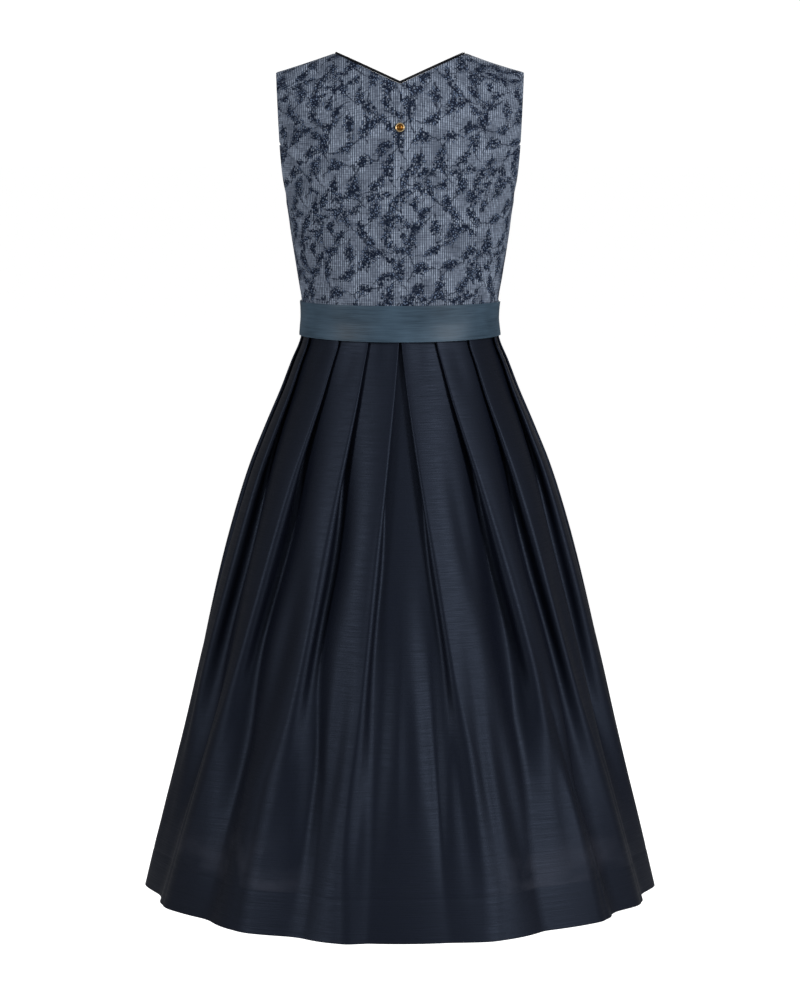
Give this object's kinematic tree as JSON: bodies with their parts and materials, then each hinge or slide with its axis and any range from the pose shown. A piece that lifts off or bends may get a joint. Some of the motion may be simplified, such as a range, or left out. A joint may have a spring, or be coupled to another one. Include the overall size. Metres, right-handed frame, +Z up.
{
  "type": "dirndl",
  "caption": "Sleeveless dirndl with a fitted panelled bodice, V neckline, waistband and wide pleated skirt, held in its worn, hollow shape.",
  "frame": {"origin": "midway between the two shoulder seams, at the height of the neck points", "axes": "+Z up, +Y out of the front of the dress, -Y out of its back, +X to the right of a person looking at the back"},
  "size_m": [0.6489, 0.6123, 1.0509],
  "materials": {
    "jacquard": "woven jacquard in slate blue with dark navy flower sprigs, matt with a slight lustre",
    "binding": "satin bias binding rolled over a cord, near black",
    "ribbon": "slubbed silk-like ribbon in steel blue, soft sheen",
    "taffeta": "dark navy taffeta with fine crosswise slubs, soft sheen",
    "gilt": "plain domed metal, satin gold"
  },
  "bodies": {
    "root": {"back_left": "jacquard", "back_right": "jacquard", "side_back_left": "jacquard", "side_back_right": "jacquard", "front_left": "jacquard", "front_right": "jacquard", "side_front_left": "jacquard", "side_front_right": "jacquard", "neck_binding_back": "binding", "neck_binding_front": "binding", "skirt_back": "taffeta", "skirt_front": "taffeta", "waistband": "ribbon", "front_placket": "jacquard", "back_stud": "gilt", "button_1": "gilt", "button_2": "gilt", "button_3": "gilt", "button_4": "gilt", "button_5": "gilt", "button_6": "gilt"}
  },
  "joints": []
}
